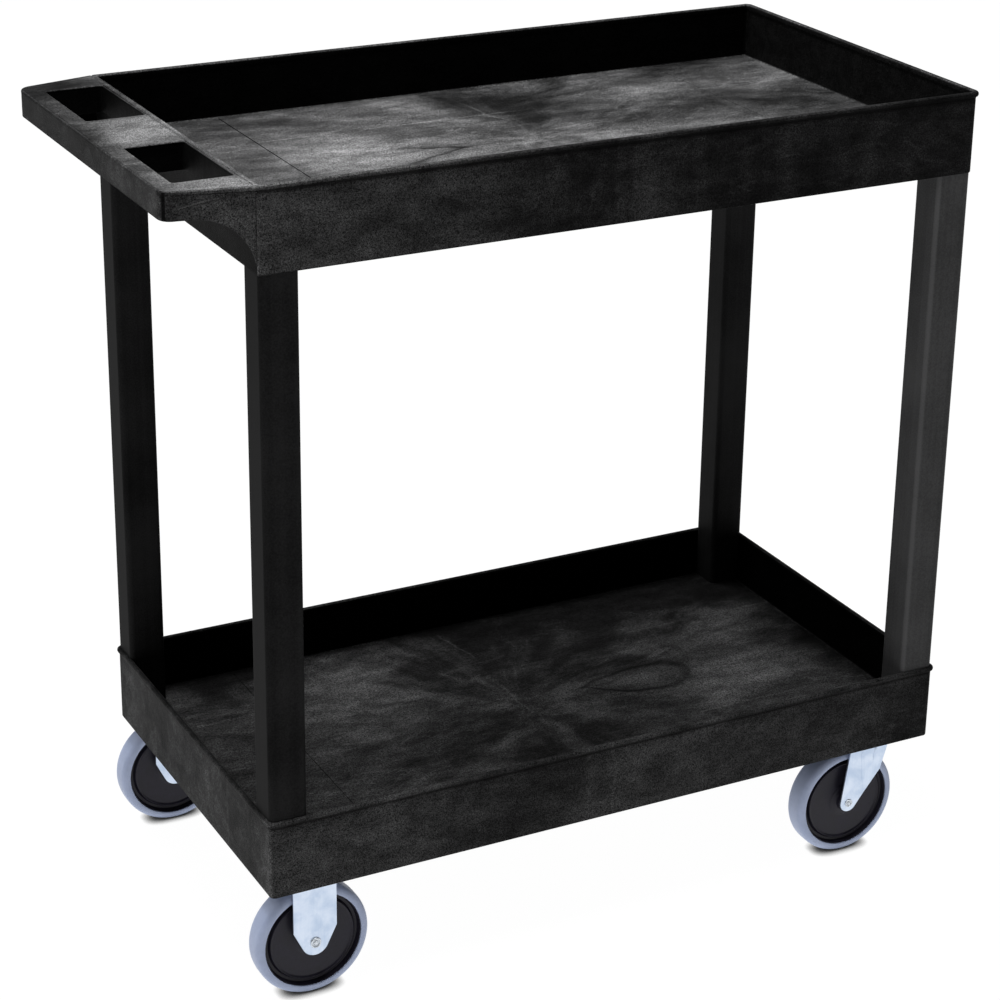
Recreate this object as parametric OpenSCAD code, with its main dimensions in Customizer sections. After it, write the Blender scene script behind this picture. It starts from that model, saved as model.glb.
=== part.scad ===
// Rolling utility cart: two moulded tub shelves on four tube legs, a push handle moulded into the
// top shelf, two rigid casters at the handle end and two swivel casters at the other end.
// +X runs along the cart away from the handle, +Z is up, the wheels stand on Z = 0.

/* [Shelves] */
// Outer length of a shelf's walls
shelf_l = 810; // [806:1:880]
// Outer width of a shelf's walls
shelf_w = 447; // [447:1:500]
// Height of a shelf from its bottom edge to the top of its rim
shelf_h = 88; // [84:1:100]
// Depth of the tub from the rim to the floor
tub_depth = 60; // [50:1:62]
// Thickness of the side walls
wall_t = 4; // [3.5:0.1:4.5]
// Thickness of the floor
floor_t = 4.5; // [3.5:0.1:5]
// Height of the lower shelf's bottom edge above the ground
ground_clearance = 130; // [130:0.5:134]
// Distance between the bottom edges of the two shelves
shelf_pitch = 666; // [500:1:750]

/* [Push handle] */
// Reach of the handle beyond the shelf's end wall
handle_reach = 87; // [80:1:110]
// Width of the handle at its outer end
handle_w = 414; // [400:1:440]
// Radius of the handle's outer corners
handle_corner_r = 15; // [8:1:25]
// Height of the handle bar's face
bar_h = 29.5; // [20:0.5:35]
// Size of each grip opening along the cart
grip_l = 61; // [45:1:62]
// Size of each grip opening across the cart
grip_w = 128; // [100:1:132]
// Width of the bridge between the grip openings
bridge_w = 107; // [80:1:120]

/* [Legs] */
// Side of the square leg tube
leg_w = 41; // [34:1:42]
// Radius of the leg tube's long edges
leg_r = 6; // [5:0.5:8]
// Wall thickness of the leg tube
leg_t = 3; // [2:0.1:4]

/* [Casters] */
// Radius of the wheels over the tread
wheel_r = 63.5; // [60:0.5:63.5]
// Width of the tread
tread_w = 27.6; // [24:0.2:28]
// Distance from the swivel axis back to the wheel's axle
trail = 28; // [26:0.5:30]
// Distance of the rigid casters' axles from the middle of the shelves
rigid_x = 355; // [340:1:355]
// Distance of the swivel casters' kingpins from the middle of the shelves
swivel_x = 333; // [300:1:350]
// Distance of every caster from the cart's centre line
caster_y = 200; // [180:1:200]

/* [Hidden] */
$fn = 48;

// ---- shelves ----
half_l = shelf_l / 2;
half_w = shelf_w / 2;
corner_r = 6;
bead_r = 3.2;
bead_out = 2.7;                        // how far the rim bead stands out from the wall
bead_in = bead_r - bead_out;           // the bead's centre line lies this far inside the wall's face
floor_top = shelf_h - tub_depth;
recess_h = floor_top - floor_t;        // height of the space under the floor
cavity_draft = 3;
cavity_fillet = 2.5;
cavity_corner_r = 3;
rib_t = 3;
rib_drop = 12;
rib_x = [-270, -135, 0, 135, 270];
rib_y = [-110, 0, 110];
seam_w = 0.8;
seam_deep = 0.4;
seam_x = 270;                          // fine mould lines on the floors
seam_y = 107;
seam_end_gap = 12;                     // the floor mould lines stop this far from the walls' outer faces
low_z = ground_clearance;
high_z = ground_clearance + shelf_pitch;

// ---- handle ----
handle_x = -half_l - handle_reach;
deck_drop = 0.5;                       // the deck lies this far below the top of the rim
deck_top = shelf_h - deck_drop;
deck_t = 5;
lip_t = 4;
grip_wall_t = 3;                       // walls round the grip openings, under the deck
bar_z = shelf_h - bar_h;               // underside of the bar
wing_r = bar_z;                        // the wings sweep down to the shelf's bottom edge
seam_low = 5;                          // the handle's side seams start this high on the shelf
front_seam_w = 1;
front_seam_deep = 2;
grip_offset = 5;                       // the grip openings start this far outside the tub's end wall

// ---- legs ----
leg_fit = 0.1;
spigot_fit = 0.2;
leg_let_in = 3;                        // the legs are let into the inner faces of the walls
leg_cx = half_l - wall_t + leg_let_in - leg_w / 2;
leg_cy = half_w - wall_t + leg_let_in - leg_w / 2;
leg_z0 = low_z + floor_top;
leg_z1 = high_z + recess_h;
spigot_w = leg_w - 2 * (leg_t + spigot_fit);
spigot_bore_r = 1.5;
spigot_low_h = 45;
spigot_high_h = 42;

// ---- casters ----
pad_drop = 8;
pad_w = 39;
pad_margin = 1;                        // the pads stand out this far past the ends of the plates
mount_z = low_z + recess_h - pad_drop; // face that the caster plates bolt up against
plate_t = 3;
plate_w = 38;
rigid_plate_l = 84;
swivel_plate_l = 92;
plate_r = 4;
plate_z = mount_z - plate_t;
hole_y = 12.5;
rigid_hole_x = 34;
swivel_hole_x = 38;
screw_r = 2.9;
screw_fit = 0.05;
screw_hole_fit = 0.4;                  // the plate holes are this much larger in radius than the screws
screw_tip_gap = 0.2;
screw_l = 11;                          // depth of the screws in the pads
screw_flange_r = 6;
screw_flange_h = 1.2;
screw_head_af = 10;
screw_head_h = 3.8;
cheek_in = 16;
cheek_t = 2.4;
cheek_out = cheek_in + cheek_t;
axle_r = 4;
axle_fit = 0.05;
axle_head_r = 6.2;
axle_head_h = 3.2;
axle_end = 1;                          // the axle stands out this far past its nut
nut_af = 13;
nut_h = 6.5;
sleeve_r = 6;
core_r = 54.2;                         // where the wheel's core ends and the tread begins
core_w = 25.4;
hub_r = 11;
hub_gap = 0.3;                         // between the wheel's hub and each cheek of the fork
hub_half = cheek_in - hub_gap;
web_half = 7.5;
rim_in_r = 47;
web_fillet = 3.5;
shoulder_r = 6.5;
rigid_cheek_half = 24.3;
rigid_taper_z = 79;
rigid_tip_r = 15;
fork_gap = 0.4;                        // between the swivel fork's top and the shelf's bottom edge
fork_top = low_z - fork_gap;
crown_t = 2.4;
crown_rear = 14;
fork_rear = 29;
fork_front = 21.6;
fork_tip_r = 10.5;
fork_knee = [12.4, 98.2];
fork_shin = [-8.9, 71.5];
race_r = 18.4;
race_gap = 1.8;
ball_r = 2.4;
ball_pitch_r = 13;
ball_count = 14;
ball_fit = 0.1;
ball_z = (fork_top + plate_z) / 2;
kingpin_r = 5;
kingpin_head_r = 8;
kingpin_head_h = 2.4;
kingpin_gap = 0.1;                     // between the kingpin's head and the crown
steel = "gainsboro";
plastic = [0.13, 0.13, 0.13];

// The frame's origin is on the ground under the middle of the whole cart.
frame_x = (handle_reach - bead_out) / 2;

module placed() {
    translate([frame_x, 0, 0]) children();
}

// ---- outlines ----

module rounded_rect(half_x, half_y, r) {
    square([2 * half_x, 2 * (half_y - r)], center = true);
    square([2 * (half_x - r), 2 * half_y], center = true);
    for (sx = [-1, 1], sy = [-1, 1])
        translate([sx * (half_x - r), sy * (half_y - r)]) circle(r);
}

// Handle outline seen from above, shrunk by inset: as wide as root_half at the tub and narrower at
// its outer end, where both corners are round. It runs past the tub's end wall by overlap.
module handle_outline(root_half, inset, overlap) {
    r = handle_corner_r - inset;
    end_half = handle_w / 2 - inset;
    taper = atan2(root_half - inset - end_half, handle_reach - inset);
    corner_x = handle_x + inset + r;
    corner_y = end_half + r * tan(taper) - r / cos(taper);
    step = (90 - taper) / 8;
    corner = [for (i = [0 : 8]) [corner_x - r * cos(i * step), corner_y + r * sin(i * step)]];
    back = concat(corner, [[-half_l, root_half - inset], [-half_l + overlap, root_half - inset]]);
    front = [for (i = [len(back) - 1 : -1 : 0]) [back[i][0], -back[i][1]]];
    polygon(concat(back, front));
}

// ---- shelves ----

module cavity() {
    top_x = half_l - wall_t;
    top_y = half_w - wall_t;
    low_x = top_x - cavity_draft;
    low_y = top_y - cavity_draft;
    hull() {
        for (sx = [-1, 1], sy = [-1, 1]) {
            translate([sx * (low_x - cavity_fillet), sy * (low_y - cavity_fillet), floor_top + cavity_fillet])
                sphere(cavity_fillet, $fn = 24);
            translate([sx * (top_x - cavity_corner_r), sy * (top_y - cavity_corner_r), shelf_h])
                cylinder(h = 1, r = cavity_corner_r, $fn = 24);
        }
    }
}

module rim_bead() {
    bx = half_l - bead_in;
    by = half_w - bead_in;
    r = corner_r - bead_in;
    z = shelf_h - bead_r;
    for (s = [-1, 1]) {
        translate([0, s * by, z]) rotate([0, 90, 0]) cylinder(h = 2 * (bx - r), r = bead_r, center = true);
        translate([s * bx, 0, z]) rotate([90, 0, 0]) cylinder(h = 2 * (by - r), r = bead_r, center = true);
    }
    for (q = [0 : 3]) {
        sx = (q == 0 || q == 3) ? 1 : -1;
        sy = q < 2 ? 1 : -1;
        translate([sx * (bx - r), sy * (by - r), z]) rotate([0, 0, 90 * q])
            rotate_extrude(angle = 90) translate([r, 0]) circle(bead_r);
    }
}

module floor_ribs() {
    z = recess_h - rib_drop;
    for (x = rib_x)
        translate([x - rib_t / 2, -half_w + 1, z]) cube([rib_t, shelf_w - 2, rib_drop + 1]);
    for (y = rib_y)
        translate([-half_l + 1, y - rib_t / 2, z]) cube([shelf_l - 2, rib_t, rib_drop + 1]);
}

module floor_seams() {
    z = floor_top - seam_deep;
    for (sx = [-1, 1]) {
        translate([sx * seam_x - seam_w / 2, -half_w + seam_end_gap, z])
            cube([seam_w, shelf_w - 2 * seam_end_gap, 1]);
        for (sy = [-1, 1])
            translate([sx * (half_l + seam_x - seam_end_gap) / 2, sy * seam_y, z + 0.5])
                cube([half_l - seam_x - seam_end_gap, seam_w, 1], center = true);
    }
}

module shelf_body() {
    difference() {
        linear_extrude(shelf_h - bead_r) rounded_rect(half_l, half_w, corner_r);
        translate([0, 0, -1])
            linear_extrude(recess_h + 1) rounded_rect(half_l - wall_t, half_w - wall_t, corner_r - wall_t);
        cavity();
    }
    rim_bead();
    floor_ribs();
}

module at_legs() {
    for (sx = [-1, 1], sy = [-1, 1])
        translate([sx * leg_cx, sy * leg_cy, 0]) children();
}

module leg_pocket(z0, z1) {
    half = leg_w / 2 + leg_fit;
    translate([0, 0, z0]) linear_extrude(z1 - z0) rounded_rect(half, half, leg_r);
}

module spigot(z0, h) {
    half = spigot_w / 2;
    translate([0, 0, z0]) difference() {
        linear_extrude(h) rounded_rect(half, half, leg_r - leg_t);
        translate([0, 0, -1]) linear_extrude(h + 2) rounded_rect(half - leg_t, half - leg_t, spigot_bore_r);
    }
}

module caster_pad(x, pad_l) {
    for (sy = [-1, 1])
        translate([x, sy * caster_y, mount_z - low_z + pad_drop / 2 + 0.5])
            cube([pad_l, pad_w, pad_drop + 1], center = true);
}

module pilot_holes(x, hole_x) {
    for (sy = [-1, 1], hx = [-1, 1], hy = [-1, 1])
        translate([x + hx * hole_x, sy * caster_y + hy * hole_y, mount_z - low_z - 1])
            cylinder(h = screw_l + 1 + screw_tip_gap, r = screw_r + screw_fit);
}

module lower_shelf() {
    color(plastic) placed() translate([0, 0, low_z]) {
        difference() {
            union() {
                shelf_body();
                caster_pad(-rigid_x, rigid_plate_l + 2 * pad_margin);
                caster_pad(swivel_x, swivel_plate_l + 2 * pad_margin);
            }
            floor_seams();
            at_legs() leg_pocket(floor_top, shelf_h + 1);
            pilot_holes(-rigid_x, rigid_hole_x);
            pilot_holes(swivel_x, swivel_hole_x);
        }
        at_legs() spigot(floor_top - 1, spigot_low_h + 1);
    }
}

// Side view of the handle: a level bar whose underside sweeps down to the shelf's bottom edge
module wing_side() {
    rotate([90, 0, 0]) linear_extrude(shelf_w + 20, center = true) difference() {
        translate([handle_x - 1, 0]) square([handle_reach + corner_r + 1, deck_top]);
        translate([handle_x - 2, -1]) square([handle_reach + 2 - wing_r, bar_z + 1]);
        translate([-half_l - wing_r, 0]) circle(wing_r, $fn = 96);
    }
}

module grip_outline(grow) {
    for (sy = [-1, 1])
        translate([-half_l - grip_offset - grip_l / 2, sy * (bridge_w + grip_w) / 2])
            square([grip_l + 2 * grow, grip_w + 2 * grow], center = true);
}

module push_handle() {
    translate([0, 0, deck_top - deck_t]) linear_extrude(deck_t) difference() {
        handle_outline(half_w + bead_out, 0, 0.1);
        grip_outline(0);
    }
    intersection() {
        linear_extrude(deck_top) difference() {
            handle_outline(half_w, 0, corner_r);
            handle_outline(half_w, lip_t, corner_r);
        }
        wing_side();
    }
    translate([0, 0, bar_z]) linear_extrude(bar_h - deck_drop) difference() {
        grip_outline(grip_wall_t);
        grip_outline(0);
    }
}

module upper_shelf() {
    color(plastic) placed() translate([0, 0, high_z]) {
        difference() {
            union() {
                shelf_body();
                push_handle();
            }
            floor_seams();
            at_legs() leg_pocket(-1, recess_h);
            for (sy = [-1, 1])
                translate([-half_l, sy * half_w, (deck_top - deck_t + seam_low) / 2])
                    cube([front_seam_w, 2 * front_seam_deep, deck_top - deck_t - seam_low], center = true);
        }
        at_legs() spigot(recess_h - spigot_high_h, spigot_high_h + 1);
    }
}

// ---- legs ----

module leg(sx, sy) {
    half = leg_w / 2;
    color([0.16, 0.16, 0.16]) placed() translate([sx * leg_cx, sy * leg_cy, leg_z0]) difference() {
        linear_extrude(leg_z1 - leg_z0) rounded_rect(half, half, leg_r);
        translate([0, 0, -1])
            linear_extrude(leg_z1 - leg_z0 + 2) rounded_rect(half - leg_t, half - leg_t, leg_r - leg_t);
    }
}

module leg_handle_front() { leg(-1, -1); }
module leg_handle_back() { leg(-1, 1); }
module leg_end_front() { leg(1, -1); }
module leg_end_back() { leg(1, 1); }

// ---- casters: each is drawn with its mounting axis at the origin and its outer side towards -Y ----

module caster(x, sy) {
    placed() translate([x, sy * caster_y, 0]) mirror([0, sy > 0 ? 1 : 0, 0]) children();
}

// Turns an outline drawn in the X-Z plane into a solid between two distances from the wheel's middle
module across(y0, y1) {
    translate([0, y1, 0]) rotate([90, 0, 0]) linear_extrude(y1 - y0) children();
}

module both_cheeks() {
    difference() {
        union() {
            across(-cheek_out, -cheek_in) children();
            across(cheek_in, cheek_out) children();
        }
        axle_bore(axle_r + axle_fit);
    }
}

module axle_bore(r) {
    translate([0, 0, wheel_r]) rotate([90, 0, 0]) cylinder(h = 60, r = r, center = true);
}

module wheel_core() {
    color([0.15, 0.13, 0.15]) translate([0, 0, wheel_r]) rotate([90, 0, 0]) difference() {
        union() {
            cylinder(h = core_w, r = core_r, center = true, $fn = 120);
            cylinder(h = 2 * hub_half, r = hub_r, center = true);
        }
        cylinder(h = 60, r = sleeve_r + axle_fit, center = true);
        for (s = [0, 1]) mirror([0, 0, s]) rotate_extrude($fn = 120) difference() {
            translate([hub_r, web_half]) square([rim_in_r - hub_r, core_w]);
            translate([rim_in_r, web_half]) circle(web_fillet);
        }
    }
}

module wheel_tread() {
    color([0.62, 0.66, 0.74]) translate([0, 0, wheel_r]) rotate([90, 0, 0])
        rotate_extrude($fn = 120) intersection() {
            translate([core_r, -tread_w / 2]) square([wheel_r - core_r, tread_w]);
            rounded_rect(wheel_r, tread_w / 2, shoulder_r);
        }
}

module axle_bolt() {
    color(steel) translate([0, 0, wheel_r]) rotate([90, 0, 0]) {
        translate([0, 0, -cheek_out - nut_h - axle_end])
            cylinder(h = 2 * cheek_out + nut_h + axle_end, r = axle_r);
        translate([0, 0, cheek_out]) cylinder(h = axle_head_h, r = axle_head_r);
    }
}

module axle_nut() {
    color(steel) translate([0, cheek_out, wheel_r]) rotate([-90, 0, 0]) difference() {
        cylinder(h = nut_h, r = nut_af / sqrt(3), $fn = 6);
        translate([0, 0, -1]) cylinder(h = nut_h + 2, r = axle_r + axle_fit);
    }
}

module axle_sleeve() {
    color(steel) translate([0, 0, wheel_r]) rotate([90, 0, 0]) difference() {
        cylinder(h = 2 * cheek_in, r = sleeve_r, center = true);
        cylinder(h = 60, r = axle_r + axle_fit, center = true);
    }
}

module mount_screws(hole_x) {
    color(steel) for (sx = [-1, 1], sy = [-1, 1]) translate([sx * hole_x, sy * hole_y, plate_z]) {
        translate([0, 0, -screw_flange_h]) cylinder(h = screw_flange_h, r = screw_flange_r);
        translate([0, 0, -screw_flange_h - screw_head_h])
            cylinder(h = screw_head_h + 0.1, r = screw_head_af / sqrt(3), $fn = 6);
        translate([0, 0, -0.1]) cylinder(h = screw_l + plate_t + 0.1, r = screw_r);
    }
}

module mount_plate(plate_l, hole_x) {
    translate([0, 0, plate_z]) linear_extrude(plate_t) difference() {
        rounded_rect(plate_l / 2, plate_w / 2, plate_r);
        for (sx = [-1, 1], sy = [-1, 1]) translate([sx * hole_x, sy * hole_y]) circle(screw_r + screw_hole_fit);
    }
}

// Cheek of a rigid caster: straight sides that taper to a round end under the axle
module rigid_cheek() {
    rise = rigid_taper_z - wheel_r;
    reach = norm([rigid_cheek_half, rise]);
    a = atan2(rise, rigid_cheek_half) - acos(rigid_tip_r / reach);
    tip = [rigid_tip_r * cos(a), wheel_r + rigid_tip_r * sin(a)];
    polygon([
        [-rigid_cheek_half, plate_z], [-rigid_cheek_half, rigid_taper_z], [-tip[0], tip[1]],
        [tip[0], tip[1]], [rigid_cheek_half, rigid_taper_z], [rigid_cheek_half, plate_z]
    ]);
    translate([0, wheel_r]) circle(rigid_tip_r);
}

module rigid_fork() {
    color(steel) {
        both_cheeks() rigid_cheek();
        mount_plate(rigid_plate_l, rigid_hole_x);
    }
}

// Cheek of a swivel caster: raked back from the crown to the axle, its end round about the axle
module swivel_cheek() {
    r = fork_tip_r;
    back_top = [trail - fork_rear, fork_top];
    knee = [trail + fork_knee[0], fork_knee[1]];
    shin = [trail + fork_shin[0], fork_shin[1]];
    shin_rise = shin[1] - wheel_r;
    low_a = atan2(shin_rise, shin[0]) - acos(r / norm([shin[0], shin_rise]));
    back_rise = back_top[1] - wheel_r;
    high_a = atan2(back_rise, back_top[0]) + acos(r / norm([back_top[0], back_rise]));
    polygon([
        back_top, [trail + fork_front, fork_top], knee, shin,
        [r * cos(low_a), wheel_r + r * sin(low_a)], [0, wheel_r], [r * cos(high_a), wheel_r + r * sin(high_a)]
    ]);
    translate([0, wheel_r]) circle(r);
}

module race(flip) {
    gap = race_gap / 2;
    far = (plate_z - fork_top) / 2;
    translate([0, 0, ball_z]) mirror([0, 0, flip]) difference() {
        translate([0, 0, gap]) cylinder(h = far - gap, r = race_r);
        rotate_extrude() translate([ball_pitch_r, 0]) circle(ball_r + ball_fit);
    }
}

module kingpin_bore(r) {
    translate([0, 0, wheel_r]) cylinder(h = 100, r = r);
}

module swivel_fork() {
    color(steel) {
        translate([-trail, 0, 0]) both_cheeks() swivel_cheek();
        difference() {
            union() {
                translate([-crown_rear, -cheek_in, fork_top - crown_t])
                    cube([crown_rear + fork_front, 2 * cheek_in, crown_t]);
                race(1);
            }
            kingpin_bore(kingpin_r + axle_fit);
        }
    }
}

module swivel_plate() {
    color(steel) difference() {
        union() {
            mount_plate(swivel_plate_l, swivel_hole_x);
            race(0);
        }
        kingpin_bore(kingpin_r + axle_fit);
    }
}

module swivel_kingpin() {
    head_top = fork_top - crown_t - kingpin_gap;
    color(steel) {
        translate([0, 0, head_top]) cylinder(h = mount_z - head_top, r = kingpin_r);
        translate([0, 0, head_top - kingpin_head_h]) cylinder(h = kingpin_head_h, r = kingpin_head_r);
    }
}

module swivel_balls() {
    color("silver") for (i = [0 : ball_count - 1])
        rotate([0, 0, 360 * i / ball_count]) translate([ball_pitch_r, 0, ball_z]) sphere(ball_r);
}

module rigid_fork_front() { caster(-rigid_x, -1) rigid_fork(); }
module rigid_axle_front() { caster(-rigid_x, -1) axle_bolt(); }
module rigid_nut_front() { caster(-rigid_x, -1) axle_nut(); }
module rigid_sleeve_front() { caster(-rigid_x, -1) axle_sleeve(); }
module rigid_wheel_front() { caster(-rigid_x, -1) wheel_core(); }
module rigid_tread_front() { caster(-rigid_x, -1) wheel_tread(); }
module rigid_screws_front() { caster(-rigid_x, -1) mount_screws(rigid_hole_x); }
module rigid_fork_back() { caster(-rigid_x, 1) rigid_fork(); }
module rigid_axle_back() { caster(-rigid_x, 1) axle_bolt(); }
module rigid_nut_back() { caster(-rigid_x, 1) axle_nut(); }
module rigid_sleeve_back() { caster(-rigid_x, 1) axle_sleeve(); }
module rigid_wheel_back() { caster(-rigid_x, 1) wheel_core(); }
module rigid_tread_back() { caster(-rigid_x, 1) wheel_tread(); }
module rigid_screws_back() { caster(-rigid_x, 1) mount_screws(rigid_hole_x); }

module swivel_plate_front() { caster(swivel_x, -1) swivel_plate(); }
module swivel_kingpin_front() { caster(swivel_x, -1) swivel_kingpin(); }
module swivel_balls_front() { caster(swivel_x, -1) swivel_balls(); }
module swivel_fork_front() { caster(swivel_x, -1) swivel_fork(); }
module swivel_axle_front() { caster(swivel_x - trail, -1) axle_bolt(); }
module swivel_nut_front() { caster(swivel_x - trail, -1) axle_nut(); }
module swivel_sleeve_front() { caster(swivel_x - trail, -1) axle_sleeve(); }
module swivel_wheel_front() { caster(swivel_x - trail, -1) wheel_core(); }
module swivel_tread_front() { caster(swivel_x - trail, -1) wheel_tread(); }
module swivel_screws_front() { caster(swivel_x, -1) mount_screws(swivel_hole_x); }
module swivel_plate_back() { caster(swivel_x, 1) swivel_plate(); }
module swivel_kingpin_back() { caster(swivel_x, 1) swivel_kingpin(); }
module swivel_balls_back() { caster(swivel_x, 1) swivel_balls(); }
module swivel_fork_back() { caster(swivel_x, 1) swivel_fork(); }
module swivel_axle_back() { caster(swivel_x - trail, 1) axle_bolt(); }
module swivel_nut_back() { caster(swivel_x - trail, 1) axle_nut(); }
module swivel_sleeve_back() { caster(swivel_x - trail, 1) axle_sleeve(); }
module swivel_wheel_back() { caster(swivel_x - trail, 1) wheel_core(); }
module swivel_tread_back() { caster(swivel_x - trail, 1) wheel_tread(); }
module swivel_screws_back() { caster(swivel_x, 1) mount_screws(swivel_hole_x); }

upper_shelf();
lower_shelf();
leg_handle_front();
leg_handle_back();
leg_end_front();
leg_end_back();
rigid_fork_front();
rigid_axle_front();
rigid_nut_front();
rigid_sleeve_front();
rigid_wheel_front();
rigid_tread_front();
rigid_screws_front();
rigid_fork_back();
rigid_axle_back();
rigid_nut_back();
rigid_sleeve_back();
rigid_wheel_back();
rigid_tread_back();
rigid_screws_back();
swivel_plate_front();
swivel_kingpin_front();
swivel_balls_front();
swivel_fork_front();
swivel_axle_front();
swivel_nut_front();
swivel_sleeve_front();
swivel_wheel_front();
swivel_tread_front();
swivel_screws_front();
swivel_plate_back();
swivel_kingpin_back();
swivel_balls_back();
swivel_fork_back();
swivel_axle_back();
swivel_nut_back();
swivel_sleeve_back();
swivel_wheel_back();
swivel_tread_back();
swivel_screws_back();
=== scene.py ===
"""Looks of the rolling utility cart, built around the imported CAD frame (metres, wheels on Z = 0)."""

import math

import bmesh
import bpy
from mathutils import Matrix, Vector

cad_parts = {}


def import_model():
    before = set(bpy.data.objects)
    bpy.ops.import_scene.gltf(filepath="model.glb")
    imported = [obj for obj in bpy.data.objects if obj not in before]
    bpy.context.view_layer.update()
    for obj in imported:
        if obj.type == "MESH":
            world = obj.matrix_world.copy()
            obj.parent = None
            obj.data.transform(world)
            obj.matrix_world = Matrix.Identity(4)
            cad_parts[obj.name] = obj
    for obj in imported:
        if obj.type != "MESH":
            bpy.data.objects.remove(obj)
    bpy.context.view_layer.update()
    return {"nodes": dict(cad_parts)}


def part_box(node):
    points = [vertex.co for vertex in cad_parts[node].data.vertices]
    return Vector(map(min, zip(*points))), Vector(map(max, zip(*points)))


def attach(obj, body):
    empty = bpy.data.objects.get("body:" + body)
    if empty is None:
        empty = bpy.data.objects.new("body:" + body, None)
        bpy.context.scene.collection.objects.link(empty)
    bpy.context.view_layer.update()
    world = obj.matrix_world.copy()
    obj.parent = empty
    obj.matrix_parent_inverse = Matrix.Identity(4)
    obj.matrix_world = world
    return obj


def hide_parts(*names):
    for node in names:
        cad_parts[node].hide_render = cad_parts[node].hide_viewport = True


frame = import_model()
MM = 0.001
TINY = 1e-6                               # points nearer than this are one point

# ---------------------------------------------------------------- places from the frame

up_lo, up_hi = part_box("upper_shelf")
low_lo, low_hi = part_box("lower_shelf")
leg_lo, leg_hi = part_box("leg_end_back")
BEAD_OUT = 2.7 * MM                       # the rim bead stands out this far from the walls
CX = (low_lo.x + low_hi.x) / 2            # middle of the shelves along the cart
HALF_L = (low_hi.x - low_lo.x) / 2 - BEAD_OUT
HALF_W = low_hi.y - BEAD_OUT
SHELF_H = low_hi.z - low_lo.z
UP_Z = up_hi.z - SHELF_H
LOW_Z = low_lo.z
FLOOR = leg_lo.z - LOW_Z                  # a tub's floor above its bottom edge: the legs stand on it
RECESS = leg_hi.z - UP_Z                  # height of the space under a tub's floor
HANDLE_X = up_lo.x
ROOT = CX - HALF_L                        # the handle starts at the tub's end wall
DECK = SHELF_H - 0.5 * MM                 # top of the handle's deck above the shelf's bottom edge
BAR_Z = SHELF_H - 29.5 * MM               # underside of the push bar
END_LINE = 270 * MM                       # mould lines across a floor, from the shelves' middle
SIDE_LINE = 107 * MM                      # mould lines along a floor, from the shelves' middle

# ---------------------------------------------------------------- mesh helpers


def rounded_loop(cx, cy, hx, hy, r, z, n=8, left_r=None):
    """Points of a rounded rectangle, anticlockwise seen from above. left_r is the radius at its -X end."""
    points = []
    for q, (sx, sy) in enumerate(((1, 1), (-1, 1), (-1, -1), (1, -1))):
        k = r if sx > 0 or left_r is None else left_r
        for i in range(n + 1):
            a = math.radians(90 * (q + i / n))
            points.append((cx + sx * (hx - k) + k * math.cos(a), cy + sy * (hy - k) + k * math.sin(a), z))
    return points


def loft(bm, loops, cap_start=False, cap_end=False, ring=False):
    """Skins a list of closed point loops with quads. ring joins the last loop to the first."""
    rows = [[bm.verts.new(p) for p in loop] for loop in loops]
    count = len(rows[0])
    pairs = list(zip(rows, rows[1:])) + ([(rows[-1], rows[0])] if ring else [])
    for a, b in pairs:
        for i in range(count):
            j = (i + 1) % count
            bm.faces.new((a[i], a[j], b[j], b[i]))
    if cap_start:
        bm.faces.new(rows[0])
    if cap_end:
        bm.faces.new(rows[-1])


def arc(cx, cz, r, a0, a1, n):
    """Points on an arc, from angle a0 to a1 in degrees."""
    angles = [math.radians(a0 + (a1 - a0) * i / n) for i in range(n + 1)]
    return [(cx + r * math.cos(a), cz + r * math.sin(a)) for a in angles]


def lathe(bm, profile, centre, axis="Y", n=96, closed=True):
    """Turns (radius, distance) points about an axis through centre. closed joins the profile's ends."""
    cx, cy, cz = centre
    loops = []
    for r, d in profile:
        loop = []
        for i in range(n):
            a = 2 * math.pi * i / n
            c, s = r * math.cos(a), r * math.sin(a)
            loop.append((cx + c, cy + d, cz + s) if axis == "Y" else (cx + c, cy + s, cz + d))
        loops.append(loop)
    loft(bm, loops, ring=closed, cap_start=not closed, cap_end=not closed)


def soft_box(bm, lo, hi, bevel):
    """A box with rounded edges."""
    size = Vector(hi) - Vector(lo)
    made = bmesh.ops.create_cube(bm, size=1)["verts"]
    bmesh.ops.scale(bm, vec=size, verts=made)
    bmesh.ops.translate(bm, vec=(Vector(lo) + Vector(hi)) / 2, verts=made)
    edges = list({e for v in made for e in v.link_edges})
    bmesh.ops.bevel(bm, geom=edges, offset=bevel, segments=2, affect="EDGES", profile=0.5)


def add_plate(bm, outlines, w0, w1, bevel, place, resolution):
    """Adds a flat plate from w0 to w1, with rounded edges.
    outlines are its outer outline and its holes in (u, v), and place turns (u, v, w) into a point."""
    curve = bpy.data.curves.new("plate", "CURVE")
    curve.dimensions = "2D"
    curve.fill_mode = "BOTH"
    curve.extrude = (w1 - w0) / 2 - bevel
    curve.bevel_depth = bevel
    curve.bevel_resolution = resolution
    curve.offset = -bevel
    for outline in outlines:
        spline = curve.splines.new("POLY")
        spline.points.add(len(outline) - 1)
        for point, (u, v) in zip(spline.points, outline):
            point.co = (u, v, 0, 1)
        spline.use_cyclic_u = True
    obj = bpy.data.objects.new("plate", curve)
    bpy.context.scene.collection.objects.link(obj)
    bpy.context.view_layer.update()
    mesh = bpy.data.meshes.new_from_object(obj.evaluated_get(bpy.context.evaluated_depsgraph_get()))
    bpy.data.objects.remove(obj)
    bpy.data.curves.remove(curve)
    part = bmesh.new()
    part.from_mesh(mesh)
    bmesh.ops.remove_doubles(part, verts=part.verts, dist=TINY)
    for v in part.verts:
        v.co = place(v.co.x, v.co.y, v.co.z + (w0 + w1) / 2)
    part.to_mesh(mesh)
    part.free()
    bm.from_mesh(mesh)
    bpy.data.meshes.remove(mesh)


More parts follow.
